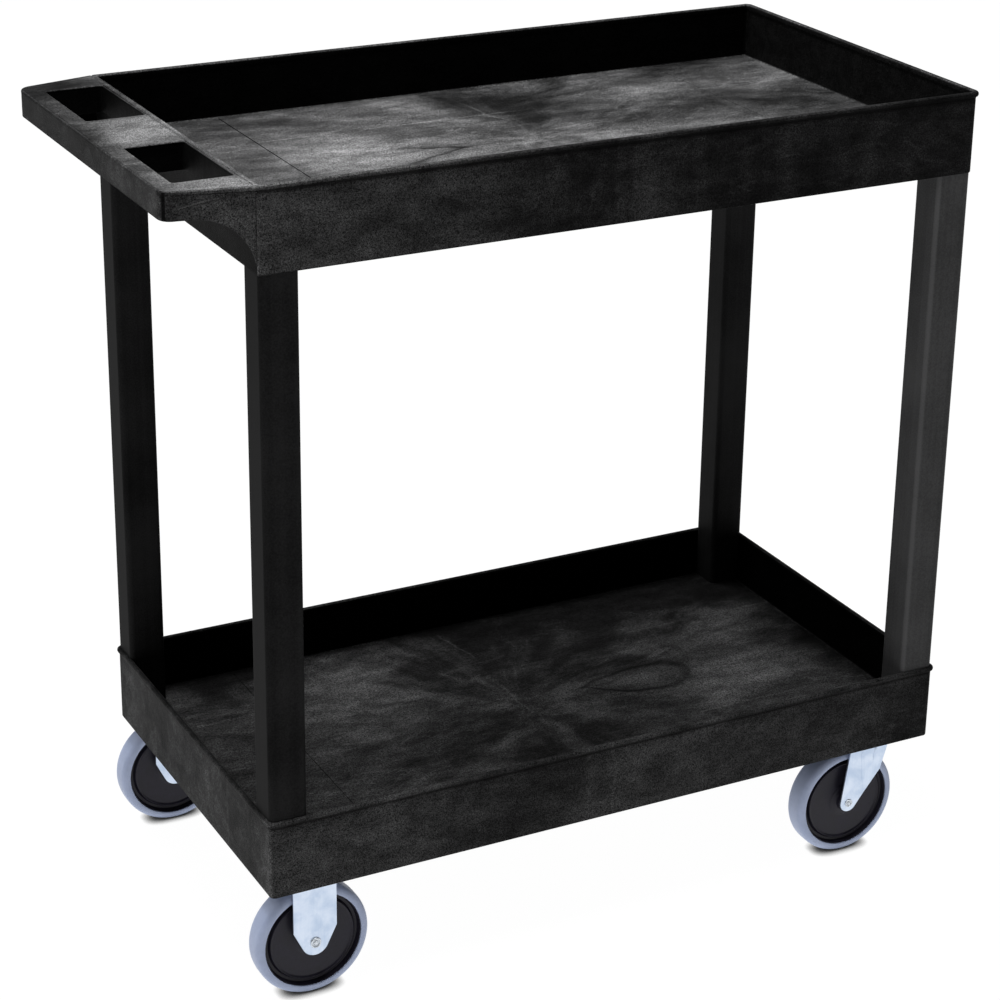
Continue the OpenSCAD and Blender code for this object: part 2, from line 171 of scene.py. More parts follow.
def groove(bm, lo, hi, normal, depth):
    """Sinks the part of the faces that look along normal and lie in the box lo..hi."""
    lo, hi, normal = Vector(lo), Vector(hi), Vector(normal)
    flat = [i for i in range(3) if abs(normal[i]) < 0.5]
    deep = [i for i in range(3) if abs(normal[i]) > 0.5][0]

    def candidates():
        found = []
        for f in bm.faces:
            if f.normal.dot(normal) < 0.99:
                continue
            c = f.calc_center_median()
            if lo[deep] - TINY <= c[deep] <= hi[deep] + TINY:
                found.append(f)
        return found

    for i in flat:
        for limit in (lo[i], hi[i]):
            faces = candidates()
            points = list({v for f in faces for v in f.verts})
            edges = list({e for f in faces for e in f.edges})
            cut = Vector((0, 0, 0))
            cut[i] = limit
            side = Vector((0, 0, 0))
            side[i] = 1
            geom = points + edges + faces
            bmesh.ops.bisect_plane(bm, geom=geom, plane_co=cut, plane_no=side, dist=TINY)
    sunk = []
    for f in candidates():
        c = f.calc_center_bounds()
        if all(lo[i] - TINY <= c[i] <= hi[i] + TINY for i in flat):
            sunk.append(f)
    if sunk:
        slope = min(hi[i] - lo[i] for i in flat) * 0.15
        bmesh.ops.inset_region(bm, faces=sunk, thickness=slope, depth=-depth)


def make(name, bm, material, body, nodes, angle=32):
    """Turns a bmesh into a finished piece that rides on a body and stands for CAD nodes.
    Edges sharper than angle, in degrees, are shaded as edges."""
    bmesh.ops.recalc_face_normals(bm, faces=bm.faces)
    mesh = bpy.data.meshes.new(name)
    bm.to_mesh(mesh)
    bm.free()
    mesh.materials.append(material)
    mesh.shade_smooth()
    mesh.set_sharp_from_angle(angle=math.radians(angle))
    obj = bpy.data.objects.new(name, mesh)
    bpy.context.scene.collection.objects.link(obj)
    weighted = obj.modifiers.new("normals", "WEIGHTED_NORMAL")
    weighted.keep_sharp = True
    weighted.weight = 60
    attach(obj, body)
    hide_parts(*nodes)


# ---------------------------------------------------------------- material helpers


class Nodes:
    """Short calls that build a node tree."""

    def __init__(self, tree):
        self.tree = tree
        tree.nodes.clear()

    def put(self, socket, value):
        """Links a socket to another, or sets it to a constant."""
        if isinstance(value, bpy.types.NodeSocket):
            self.tree.links.new(value, socket)
        elif value is not None:
            socket.default_value = value

    def math(self, op, a, b=None, c=None):
        n = self.tree.nodes.new("ShaderNodeMath")
        n.operation = op
        for socket, value in zip(n.inputs, (a, b, c)):
            self.put(socket, value)
        return n.outputs[0]

    def vector(self, op, a, b=None, scale=None):
        n = self.tree.nodes.new("ShaderNodeVectorMath")
        n.operation = op
        self.put(n.inputs[0], a)
        self.put(n.inputs[1], b)
        self.put(n.inputs[3], scale)
        return n.outputs["Value"] if op in ("LENGTH", "DOT_PRODUCT") else n.outputs["Vector"]

    def split(self, v):
        n = self.tree.nodes.new("ShaderNodeSeparateXYZ")
        self.put(n.inputs[0], v)
        return n.outputs

    def join(self, x, y, z):
        n = self.tree.nodes.new("ShaderNodeCombineXYZ")
        for socket, value in zip(n.inputs, (x, y, z)):
            self.put(socket, value)
        return n.outputs[0]

    def place(self):
        """The point on the piece, in metres."""
        return self.tree.nodes.new("ShaderNodeTexCoord").outputs["Object"]

    def facing(self):
        """The way that the surface faces, as three sockets."""
        return self.split(self.tree.nodes.new("ShaderNodeNewGeometry").outputs["Normal"])

    def noise(self, v, scale, detail=3.0, rough=0.5, distortion=0.0):
        n = self.tree.nodes.new("ShaderNodeTexNoise")
        self.put(n.inputs["Vector"], v)
        n.inputs["Scale"].default_value = scale
        n.inputs["Detail"].default_value = detail
        n.inputs["Roughness"].default_value = rough
        n.inputs["Distortion"].default_value = distortion
        return n.outputs["Fac"]

    def noise_colour(self, v, scale, detail):
        """Three independent noises in one vector."""
        self.noise(v, scale, detail)
        return self.tree.nodes[-1].outputs["Color"]

    def span(self, v, a, b, c=0.0, d=1.0, smooth=True):
        """Maps a..b to c..d, clamped."""
        n = self.tree.nodes.new("ShaderNodeMapRange")
        n.interpolation_type = "SMOOTHSTEP" if smooth else "LINEAR"
        for key, value in (("Value", v), ("From Min", a), ("From Max", b), ("To Min", c), ("To Max", d)):
            self.put(n.inputs[key], value)
        return n.outputs["Result"]

    def mix(self, fac, a, b):
        """Colour a where fac is 0 and colour b where it is 1."""
        n = self.tree.nodes.new("ShaderNodeMix")
        n.data_type = "RGBA"
        self.put(n.inputs["Factor"], fac)
        for key, value in (("A", a), ("B", b)):
            socket = next(s for s in n.inputs if s.name == key and s.type == "RGBA")
            self.put(socket, (*value, 1) if isinstance(value, tuple) else value)
        return next(s for s in n.outputs if s.type == "RGBA")

    def bump(self, height, distance, strength):
        n = self.tree.nodes.new("ShaderNodeBump")
        n.inputs["Distance"].default_value = distance
        n.inputs["Strength"].default_value = strength
        self.put(n.inputs["Height"], height)
        return n.outputs["Normal"]

    def finish(self, **sockets):
        """The shader and the output. Each argument is a shader input, with _ for a space in its name."""
        shader = self.tree.nodes.new("ShaderNodeBsdfPrincipled")
        for key, value in sockets.items():
            self.put(shader.inputs[key.replace("_", " ")], value)
        out = self.tree.nodes.new("ShaderNodeOutputMaterial")
        self.tree.links.new(shader.outputs[0], out.inputs["Surface"])


def material(name):
    """A new material and the builder of its nodes."""
    m = bpy.data.materials.new(name)
    m.use_nodes = True
    return m, Nodes(m.node_tree)


PLASTIC_IOR = 1.48
HANDLE_HALF = 207 * MM                    # half the handle's width at its outer end

# Broad pale (+) and dark (-) patches on the shelves, partly flow marks and partly painted light and shade:
# the
# painted light on the upper floor, and painted shade near the back walls and on the bar's end face. In
# metres:
# place along and across the cart from the shelves' middle, half sizes, strength on the upper shelf, strength
# on the lower shelf
FLOW_AND_LIGHT_PATCHES = (
    (-0.20, 0.03, 0.12, 0.13, 0.72, 0.10),
    (-0.31, 0.17, 0.05, 0.06, -0.12, -0.10),
    (0.08, 0.12, 0.16, 0.14, -0.62, -0.15),
    (0.27, 0.18, 0.18, 0.08, -0.35, -0.10),
    (0.29, 0.03, 0.20, 0.12, -0.30, 0.0),
    (0.25, -0.05, 0.14, 0.08, 0.20, 0.75),
    (0.0, 0.19, 0.08, 0.07, -0.40, 0.0),
    (-0.18, 0.13, 0.10, 0.06, 0.0, 0.42),
    (0.20, 0.24, 0.42, 0.18, 0.0, -0.50),
    (-0.30, 0.22, 0.20, 0.05, 0.0, -0.40),
    (0.40, 0.02, 0.08, 0.26, -0.10, -0.50),
    (0.0, -0.13, 0.14, 0.07, 0.0, -0.08),
    (-0.50, 0.0, 0.035, 0.32, -0.42, 0.0),
    (-0.43, 0.0, 0.07, 0.08, 0.58, 0.0),
    (-0.43, -0.20, 0.06, 0.06, 0.42, 0.0),
    (-0.45, 0.19, 0.08, 0.08, -0.35, 0.0),
    (-0.36, -0.24, 0.26, 0.06, 0.50, 0.75),
    (0.15, -0.24, 0.44, 0.06, -0.40, 0.30),
    (-0.06, -0.24, 0.16, 0.06, -0.25, 0.40),
)


def inside(n, x, y, upper):
    """1 on the inner faces of a shelf, which are painted dark as painted shade, 0 on its outer faces."""
    skin = 1.5 * MM                       # the outer faces reach this far in
    near_end = n.math("MULTIPLY_ADD", upper, HANDLE_X - ROOT, ROOT + skin)
    left = n.math("SUBTRACT", x, near_end)
    right = n.math("SUBTRACT", CX + HALF_L - skin, x)
    half = n.span(x, HANDLE_X, ROOT, HANDLE_HALF - 2 * MM, HALF_W - skin, smooth=False)
    side = n.math("SUBTRACT", half, n.math("ABSOLUTE", y))
    return n.span(n.math("MINIMUM", side, n.math("MINIMUM", left, right)), 0.0, 1.0 * MM)


def leaf(n, x, y, upper):
    """Leaf-shaped weld mark beside the gate: a dark outline round a paler middle.
    It points at the gate, and lies on the other side of it on the upper shelf."""
    long, wide, away = 0.065, 0.036, 0.145
    turn = n.math("MULTIPLY_ADD", upper, -2.0, 1.0)
    u = n.math("DIVIDE", n.math("SUBTRACT", x, n.math("MULTIPLY_ADD", turn, away, CX)), long)
    v = n.math("DIVIDE", y, wide)
    width = n.math("MAXIMUM", n.math("MULTIPLY_ADD", n.math("MULTIPLY", u, turn), 0.5, 0.5), 0.02)
    squares = n.math("ADD", n.math("MULTIPLY", u, u), n.math("DIVIDE", n.math("MULTIPLY", v, v), width))
    edge = n.math("SQRT", squares)
    from_edge = n.math("ABSOLUTE", n.math("SUBTRACT", edge, 1.0))
    outline = n.math("MULTIPLY", n.span(from_edge, 0.22, 0.0), -0.32)
    return n.math("ADD", outline, n.span(edge, 0.8, 0.0, 0.0, 0.16))


def flow_marks_and_light(n, p, upper):
    """Pale and dark flow marks, from 0 for dark to 1 for pale: streaks that fan out from the gate, clouds,
    fine veins, lines over the ribs, the leaf and the broad patches, which are partly painted light and shade."""
    warp = n.vector("SUBTRACT", n.noise_colour(p, 6.0, 3.0), (0.5, 0.5, 0.5))
    bent = n.vector("ADD", p, n.vector("MULTIPLY", warp, (0.09, 0.07, 0.02)))
    bx, by, _ = n.split(bent)
    y = n.split(p)[1]
    dx = n.math("SUBTRACT", bx, CX)
    reach = n.math("SQRT", n.math("ADD", n.math("MULTIPLY", dx, dx), n.math("MULTIPLY", by, by)))
    near = n.math("ADD", reach, 0.02)
    fan = n.join(n.math("DIVIDE", dx, near), n.math("DIVIDE", by, near), n.math("MULTIPLY", reach, 0.9))
    fan = n.vector("ADD", fan, n.join(0.0, 0.0, n.math("MULTIPLY", upper, 3.0)))
    rays = n.span(n.noise(fan, 2.3, 6.0, 0.64, 0.25), 0.36, 0.64)
    clouds = n.span(n.noise(n.vector("MULTIPLY", bent, (1.0, 2.0, 2.5)), 9.0, 6.0, 0.68, 0.8), 0.36, 0.64)
    wave = n.noise(n.vector("MULTIPLY", bent, (2.2, 6.0, 4.0)), 2.4, 3.0, 0.5, 0.8)
    veins = n.span(n.math("ABSOLUTE", n.math("SUBTRACT", wave, 0.5)), 0.014, 0.0)
    from_rib = n.math("ABSOLUTE", n.math("SUBTRACT", n.math("ABSOLUTE", y), SIDE_LINE))
    from_rib = n.math("MINIMUM", from_rib, n.math("ABSOLUTE", n.math("SUBTRACT", bx, CX)))
    broken = n.span(n.noise(p, 7.0, 2.0, 0.5), 0.45, 0.6)
    ribs = n.math("MULTIPLY", n.span(from_rib, 3.0 * MM, 0.0), broken)
    flow = n.math("MULTIPLY_ADD", upper, 0.19, -0.21)
    for marks, strength in ((clouds, 0.26), (rays, 0.36), (veins, 0.12), (ribs, 0.30)):
        flow = n.math("MULTIPLY_ADD", marks, strength, flow)
    flow = n.math("ADD", flow, leaf(n, bx, by, upper))
    for px, py, wide, deep, above, below in FLOW_AND_LIGHT_PATCHES:
        u = n.math("DIVIDE", n.math("SUBTRACT", bx, CX + px), wide)
        v = n.math("DIVIDE", n.math("SUBTRACT", by, py), deep)
        away = n.math("SQRT", n.math("ADD", n.math("MULTIPLY", u, u), n.math("MULTIPLY", v, v)))
        strength = n.math("MULTIPLY_ADD", upper, above - below, below)
        flow = n.math("MULTIPLY_ADD", n.span(away, 1.0, 0.0), strength, flow)
    return n.span(flow, -0.35, 1.20)


def shelf_plastic():
    """Black structural foam plastic: strong fine speckle and streaky flow marks with painted light and shade
    patches, lighter on up-facing faces from scuffs and painted top light, lighter on outer faces toward the
    handle end as painted side light, painted highlights on rounded edges, and painted shade on downward
    faces, on the inner faces and in the painted shadow line under the rim bead."""
    m, n = material("shelf_plastic")
    p = n.place()
    x, y, z = n.split(p)
    upper = n.math("GREATER_THAN", z, (UP_Z + LOW_Z) / 2)
    # flow holds the flow marks and the painted light and shade patches
    flow = flow_marks_and_light(n, p, upper)
    facing = n.facing()
    inner = inside(n, x, y, upper)
    # Painted side light on outer faces toward the handle end, and paler up-facing faces, partly scuffs and
    # partly painted top light
    ends = n.math("MULTIPLY", n.span(facing[0], -0.5, -0.95, 0.0, 0.48), n.math("SUBTRACT", 1.0, inner))
    top_scuffs_and_light = n.math("MULTIPLY", n.span(facing[2], 0.35, 0.95), n.math("MULTIPLY_ADD", inner, 0.88, 0.12))
    scuffs_and_painted_light = n.math("MAXIMUM", top_scuffs_and_light, ends)
    # Painted highlight along rounded edges and fillets; on the upper shelf it is strongest toward the handle
    # end
    edges = n.math("MULTIPLY", n.span(facing[2], 0.3, 0.6), n.span(facing[2], 0.99, 0.9))
    lit = n.math("MULTIPLY", upper, n.span(x, CX - 0.15, CX - 0.30, 0.0, 0.17))
    edges = n.math("MULTIPLY", edges, n.math("ADD", lit, 0.05))
    # Painted shade on downward-facing faces, with the painted shadow line just under the rim bead
    below = n.span(facing[2], -0.1, -0.5, 1.0, 0.25)
    rim = n.math("MULTIPLY_ADD", upper, UP_Z - LOW_Z, LOW_Z + SHELF_H)
    drop = n.math("SUBTRACT", rim, z)
    on_bead = n.math("MAXIMUM", n.span(drop, 6.4 * MM, 5.4 * MM), n.math("LESS_THAN", x, ROOT))
    shadow = n.math("MAXIMUM", n.span(drop, 7.2 * MM, 11.0 * MM, 0.35, 1.0), on_bead)
    below = n.math("MULTIPLY", below, shadow)
    coarse = n.math("SUBTRACT", n.noise(p, 380.0, 2.0, 0.6), 0.5)
    fine = n.math("SUBTRACT", n.noise(p, 800.0, 2.0, 0.7), 0.5)
    speckle = n.math("MULTIPLY_ADD", coarse, 0.8, n.math("MULTIPLY", fine, 2.2))
    outer = n.mix(flow, (0.003, 0.003, 0.0031), (0.050, 0.050, 0.0505))
    # Painted shade on the inner faces, lifted a little on the upper shelf's far inner end wall as painted
    # light from the side lamp
    lit_far_wall = n.math("MULTIPLY", n.span(facing[0], -0.5, -0.95), upper)
    inner_painted_shade = n.mix(lit_far_wall, (0.0012, 0.0012, 0.0012), (0.0042, 0.0042, 0.0042))
    walls = n.mix(inner, outer, inner_painted_shade)
    floors = n.mix(flow, (0.008, 0.008, 0.0081), (0.165, 0.165, 0.167))
    faces = n.mix(edges, n.mix(scuffs_and_painted_light, walls, floors), (0.09, 0.09, 0.091))
    blotch = n.noise(n.vector("MULTIPLY", p, (0.5, 1.0, 1.0)), 55.0, 5.0, 0.72)
    mottle = n.span(blotch, 0.3, 0.7, 0.62, 1.38)
    specks = n.math("MAXIMUM", n.math("MULTIPLY_ADD", speckle, 2.4, 1.0), 0.15)
    gain = n.math("MULTIPLY", specks, mottle)
    rough = n.math("MULTIPLY_ADD", speckle, 0.15, n.span(flow, 0.0, 1.0, 0.48, 0.60))
    normal = n.bump(speckle, 0.0005, 0.45)
    colour = n.vector("SCALE", faces, scale=n.math("MULTIPLY", gain, below))
    n.finish(Base_Color=colour, Roughness=rough, Normal=normal, IOR=PLASTIC_IOR, Specular_IOR_Level=0.02)
    return m


def leg_plastic():
    """Satin black extruded tube with faint draw lines. The front leg away from the handle is painted lighter
    as painted light, with a painted highlight along its corners.
    """
    m, n = material("leg_plastic")
    p = n.place()
    draw = n.noise(n.vector("MULTIPLY", p, (1.0, 1.0, 0.004)), 210.0, 3.0, 0.6)
    cloud = n.noise(p, 9.0, 4.0, 0.6)
    grain = n.noise(p, 600.0, 3.0, 0.6)
    tone = n.math("MULTIPLY_ADD", draw, 0.16, n.math("MULTIPLY", cloud, 0.46))
    tone = n.span(n.math("MULTIPLY_ADD", grain, 0.38, tone), 0.34, 0.66)
    x, y, _ = n.split(p)
    # Painted light: the front leg away from the handle is lighter, with a painted highlight along its corners
    paler = n.span(n.math("SUBTRACT", x, y), 0.2, 0.5)
    low = n.mix(paler, (0.006, 0.006, 0.0061), (0.034, 0.034, 0.0346))
    high = n.mix(paler, (0.018, 0.018, 0.0183), (0.066, 0.066, 0.067))
    facing = n.facing()
    corner = n.math("ABSOLUTE", n.math("MULTIPLY", facing[0], facing[1]))
    painted_corner_highlight = n.math("MULTIPLY", n.span(corner, 0.15, 0.5, 0.0, 0.36), paler)
    colour = n.mix(painted_corner_highlight, n.mix(tone, low, high), (0.13, 0.13, 0.132))
    rough = n.span(tone, 0.0, 1.0, 0.46, 0.56)
    normal = n.bump(n.math("MULTIPLY_ADD", grain, 0.7, n.math("MULTIPLY", draw, 0.3)), 0.0003, 0.2)
    n.finish(Base_Color=colour, Roughness=rough, Normal=normal, IOR=PLASTIC_IOR, Specular_IOR_Level=0.015)
    return m


def wheel_plastic():
    """Near-black wheel centre, slightly purple, with a moulded satin surface."""
    m, n = material("wheel_plastic")
    p = n.place()
    mottled = n.noise(p, 60.0, 4.0, 0.6)
    grain = n.noise(p, 900.0, 2.0, 0.5)
    tone = n.span(n.math("MULTIPLY_ADD", grain, 0.4, n.math("MULTIPLY", mottled, 0.6)), 0.35, 0.65)
    colour = n.mix(tone, (0.009, 0.008, 0.0145), (0.017, 0.0155, 0.027))
    rough = n.span(mottled, 0.3, 0.7, 0.38, 0.50)
    n.finish(Base_Color=colour, Roughness=rough, Normal=n.bump(grain, 0.0003, 0.2), Specular_IOR_Level=0.25)
    return m


def tread_rubber():
    """Light blue-grey rubber with faint mottling and a fine matt surface."""
    m, n = material("tread_rubber")
    p = n.place()
    mottled = n.noise(p, 35.0, 4.0, 0.6)
    dust = n.noise(p, 240.0, 4.0, 0.7)
    fine = n.noise(p, 1400.0, 2.0, 0.5)
    tone = n.span(n.math("MULTIPLY_ADD", mottled, 0.7, n.math("MULTIPLY", dust, 0.3)), 0.35, 0.65)
    colour = n.mix(tone, (0.365, 0.43, 0.61), (0.435, 0.50, 0.69))
    rough = n.span(tone, 0.0, 1.0, 0.42, 0.55)
    n.finish(Base_Color=colour, Roughness=rough, Normal=n.bump(fine, 0.0003, 0.25))
    return m


def plated_steel():
    """Bright zinc plate, bluish, with a faint rolling grain."""
    m, n = material("plated_steel")
    p = n.place()
    cloud = n.noise(p, 45.0, 4.0, 0.6, 0.4)
    brush = n.noise(n.vector("MULTIPLY", p, (1.0, 1.0, 0.06)), 500.0, 3.0, 0.6)
    tone = n.span(n.math("ADD", n.math("MULTIPLY", cloud, 0.85), n.math("MULTIPLY", brush, 0.15)), 0.3, 0.7)
    colour = n.mix(tone, (0.54, 0.65, 0.82), (0.70, 0.78, 0.91))
    rough = n.span(tone, 0.0, 1.0, 0.46, 0.33)
    n.finish(Base_Color=colour, Metallic=1.0, Roughness=rough, Normal=n.bump(brush, 0.0002, 0.15))
    return m


def plain_steel(name, dark, light, rough_low, rough_high, scale):
    """Plated or ground steel for fasteners and bearings. scale is how close the mottling is."""
    m, n = material(name)
    p = n.place()
    tone = n.span(n.noise(p, scale, 4.0, 0.6), 0.3, 0.7)
    fine = n.noise(p, scale * 8, 2.0, 0.5)
    colour = n.mix(tone, dark, light)
    rough = n.span(tone, 0.0, 1.0, rough_high, rough_low)
    n.finish(Base_Color=colour, Metallic=1.0, Roughness=rough, Normal=n.bump(fine, 0.0002, 0.15))
    return m


SHELF = shelf_plastic()
LEG = leg_plastic()
WHEEL = wheel_plastic()
TREAD = tread_rubber()
ZINC = plated_steel()
FASTENER = plain_steel("fastener_steel", (0.66, 0.71, 0.78), (0.78, 0.82, 0.86), 0.50, 0.62, 90.0)
BEARING = plain_steel("bearing_steel", (0.45, 0.45, 0.47), (0.62, 0.62, 0.64), 0.20, 0.35, 120.0)

# ---------------------------------------------------------------- shelves


def tub(bm, z0, square_end=False):
    """Shelf body: walls with a round rim bead, a flat floor, and the recess under it. Sizes here are in
    millimetres, and the loops run from the recess down, round the outside, over the bead and inside.
    square_end gives it sharp upright corners at the handle end, where the handle carries its sides on."""
    top, floor, recess = SHELF_H / MM, FLOOR / MM, RECESS / MM
    bead, fillet = 3.2, 2.3
    bead_z = top - bead

    def loop(inset, z, r):
        left = min(r, max(0.6 - inset, 0.6 + 0.6 * inset)) if square_end else r
        half_l, half_w = HALF_L - inset * MM, HALF_W - inset * MM
        return rounded_loop(CX, 0, half_l, half_w, r * MM, z0 + z * MM, 8, left * MM)

    rows = [(5.2, recess, 1.6), (4.4, recess - 0.4, 1.8), (4.0, recess - 1.3, 2.0), (4.0, 1.2, 2.0)]
    rows += [(3.6, 0.3, 2.4), (2.8, 0.0, 3.2), (1.4, 0.0, 4.6), (0.4, 0.4, 5.6), (0.0, 1.4, 6.0)]
    rows += [(0.0, bead_z - 4.3, 6.0), (-0.15, bead_z - 3.6, 6.15), (-0.6, bead_z - 3.15, 6.6)]
    loops = [loop(*row) for row in rows]
    for c, s in arc(0, 0, bead, -62, 178, 14):
        inset = 0.5 - c
        loops.append(loop(inset, bead_z + s, max(6 - inset, 3.0)))
    loops += [loop(4.0, bead_z - 1.6, 3.0), loop(6.9, floor + 3.2, 3.0)]
    for c, s in arc(7.0 + fillet, floor + fillet, fillet, 186, 270, 5):
        loops.append(loop(c, s, 3.0))
    loft(bm, loops, cap_start=True, cap_end=True)
    bm.normal_update()


def tub_details(bm, z0, pads):
    """Ribs and caster pads under the floor."""
    low, high, reach = z0 + RECESS - 12 * MM, z0 + RECESS + 0.5 * MM, 3.5 * MM
    half, soft = 1.5 * MM, 0.5 * MM
    side, ends = HALF_W - reach, (CX - HALF_L + reach, CX + HALF_L - reach)
    for step in (-2, -1, 0, 1, 2):
        x = CX + step * 135 * MM
        soft_box(bm, (x - half, -side, low), (x + half, side, high), soft)
    for y in (-110 * MM, 0, 110 * MM):
        soft_box(bm, (ends[0], y - half, low), (ends[1], y + half, high), soft)
    for lo, hi in pads:
        soft_box(bm, (lo.x - MM, lo.y - 0.5 * MM, hi.z), (hi.x + MM, hi.y + 0.5 * MM, high), 0.8 * MM)


def floor_lines(bm, z0):
    """Fine mould lines across both ends of the floor, fainter at the end away from the handle."""
    low, high = z0 + FLOOR - 0.05 * MM, z0 + FLOOR + 0.05 * MM
    clear = 12 * MM                       # the lines stop this far from the walls
    side = HALF_W - clear
    for s, wide, depth in ((-1, 0.8 * MM, 0.8 * MM), (1, 0.5 * MM, 0.2 * MM)):
        x = CX + s * END_LINE
        groove(bm, (x - wide, -side, low), (x + wide, side, high), (0, 0, 1), depth)
        for y in (-SIDE_LINE, SIDE_LINE):
            ends = sorted((x + s * MM, CX + s * (HALF_L - clear)))
            groove(bm, (ends[0], y - wide / 2, low), (ends[1], y + wide / 2, high), (0, 0, 1), depth)


def wall_notch(bm, x, z0, z1):
    """Short upright mould line in the outer face of a tub's front wall."""
    y = -HALF_W
    groove(bm, (x - 0.45 * MM, y - 0.05 * MM, z0), (x + 0.45 * MM, y + 0.05 * MM, z1), (0, -1, 0), 0.6 * MM)


def handle_path(root_half, n=12):
    """Rounded corner at the handle's outer end for y > 0, seen from above, up to where its straight side
    begins. The side runs on to root_half at the tub."""
    r = 15 * MM
    taper = math.atan2(root_half - HANDLE_HALF, ROOT - HANDLE_X)
    cx = HANDLE_X + r
    cy = HANDLE_HALF + r * math.tan(taper) - r / math.cos(taper)
    stop = math.pi / 2 - taper
    return [(cx - r * math.cos(stop * i / n), cy + r * math.sin(stop * i / n)) for i in range(n + 1)]


def ridge(x):
    """Height of the crease on the handle's sides above the shelf's bottom edge. The points are in
    millimetres: along the cart from the shelves' middle, height."""
    points = ((-492, 61), (-485, 66), (-478, 69.5), (-465, 73), (-450, 76.2), (-430, 79.5), (-405, 82))
    x = (x - CX) / MM
    for (xa, za), (xb, zb) in zip(points, points[1:]):
        if x <= xb:
            return (za + (zb - za) * max(0.0, (x - xa) / (xb - xa))) * MM
    return points[-1][1] * MM


def handle_deck(bm, z0):
    """Deck with two grip openings, and the short walls round the openings."""

    def flat(u, v, w):
        return Vector((u, v, z0 + w))

    side = handle_path(HALF_W + BEAD_OUT)
    outline = side + [(ROOT - 1.4 * MM, HALF_W + BEAD_OUT)]
    outline += [(x, -y) for x, y in reversed(outline)]
    grip_x, grip_y = ROOT - 35.5 * MM, 117.5 * MM
    half_x, half_y = 30.5 * MM, 64 * MM

    def grip(s, grow, r):
        loop = rounded_loop(grip_x, s * grip_y, half_x + grow, half_y + grow, r, 0, 4)
        return [(x, y) for x, y, _ in loop]

    grips = [grip(s, 0, 2.5 * MM) for s in (-1, 1)]
    add_plate(bm, [outline] + grips, DECK - 5 * MM, DECK, 2.0 * MM, flat, 4)
    for s in (-1, 1):
        walls = [grip(s, 2.8 * MM, 4 * MM), grip(s, 0, 2.5 * MM)]
        add_plate(bm, walls, BAR_Z, DECK - 1.2 * MM, 1.0 * MM, flat, 2)


def skirt_section(x, slope):
    """Section of the wall under the deck's edge: (distance outwards, height) points, outer face first.
    Its bottom sweeps down in a quarter circle to the shelf's. The crease is a fine raised line with a step
    in under it, and slope fades both in, from 0 on the bar to 1 on the sides."""
    radius = BAR_Z
    past = x - ROOT + radius
    low = BAR_Z if past < 0 else math.sqrt(max(radius * radius - past ** 2, 0))
    top = DECK - 2.2 * MM
    crease = ridge(x)
    step, line = 1.2 * MM * slope, 0.8 * MM * slope
    section = [(0, top), (0, crease + 1.7 * MM), (line, crease + 0.4 * MM), (0.7 * line, crease - 0.4 * MM)]
    section += [(-step, crease - 1.4 * MM), (-step, low + 1.5 * MM), (-step - 0.4 * MM, low + 0.5 * MM)]
    section += [(-step - 1.3 * MM, low), (-step - 2.9 * MM, low), (-step - 3.8 * MM, low + 0.5 * MM)]
    section += [(-step - 4.1 * MM, low + 1.4 * MM), (-step - 4.1 * MM, top)]
    return section


def handle_skirt(bm, z0):
    """Bar across the handle's end and its sides, which sweep down to the shelf's bottom edge."""
    corner = handle_path(HALF_W)
    steps = 28
    (x0, y0), (x1, y1) = corner[-1], (ROOT - 0.9 * MM, HALF_W)
    flank = [(x0 + (x1 - x0) * i / steps, y0 + (y1 - y0) * i / steps) for i in range(1, steps + 1)]
    half = corner + flank
    path = [(x, -y) for x, y in reversed(half)] + half
    loops = []
    for i, (x, y) in enumerate(path):
        a, b = path[max(i - 1, 0)], path[min(i + 1, len(path) - 1)]
        tangent = Vector((b[0] - a[0], b[1] - a[1])).normalized()
        out = Vector((-tangent.y, tangent.x))
        fade = min(max((x - (HANDLE_X + 2 * MM)) / (14 * MM), 0), 1)
        section = skirt_section(x, fade * fade * (3 - 2 * fade))
        loops.append([(x + out.x * o, y + out.y * o, z0 + z) for o, z in section])
    loft(bm, loops, cap_start=True, cap_end=True)


plates = [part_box(f"{node}_{side}") for node in ("rigid_fork", "swivel_plate") for side in ("front", "back")]

bm = bmesh.new()
tub(bm, LOW_Z)
floor_lines(bm, LOW_Z)
wall_notch(bm, CX - 266.4 * MM, LOW_Z + 59 * MM, LOW_Z + 75 * MM)
tub_details(bm, LOW_Z, plates)
make("lower_tub", bm, SHELF, "frame", ["lower_shelf"])

bm = bmesh.new()
tub(bm, UP_Z, square_end=True)
floor_lines(bm, UP_Z)
wall_notch(bm, CX - 391 * MM, UP_Z + 2 * MM, UP_Z + 8.5 * MM)
tub_details(bm, UP_Z, [])
handle_deck(bm, UP_Z)
handle_skirt(bm, UP_Z)
make("upper_tub_and_handle", bm, SHELF, "frame", ["upper_shelf"])

# ---------------------------------------------------------------- legs

LEG_WALL = 3 * MM
LEG_SOFT = 0.4 * MM                       # softened rim of the tube's ends

for end in ("handle", "end"):
    for side in ("front", "back"):
        node = f"leg_{end}_{side}"
        lo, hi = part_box(node)
        c, h = (lo + hi) / 2, (hi - lo) / 2
        bm = bmesh.new()
        levels = [(lo.z, LEG_SOFT, 6 * MM), (lo.z + LEG_SOFT, 0.0, 6 * MM)]
        levels += [(hi.z - LEG_SOFT, 0.0, 6 * MM), (hi.z, LEG_SOFT, 6 * MM)]
        levels += [(hi.z, LEG_WALL, 3 * MM), (lo.z, LEG_WALL, 3 * MM)]
        loops = [rounded_loop(c.x, c.y, h.x - i, h.y - i, r, z, 12) for z, i, r in levels]
        loft(bm, loops, ring=True)
        make(f"{node}_tube", bm, LEG, "frame", [node])

# ---------------------------------------------------------------- casters

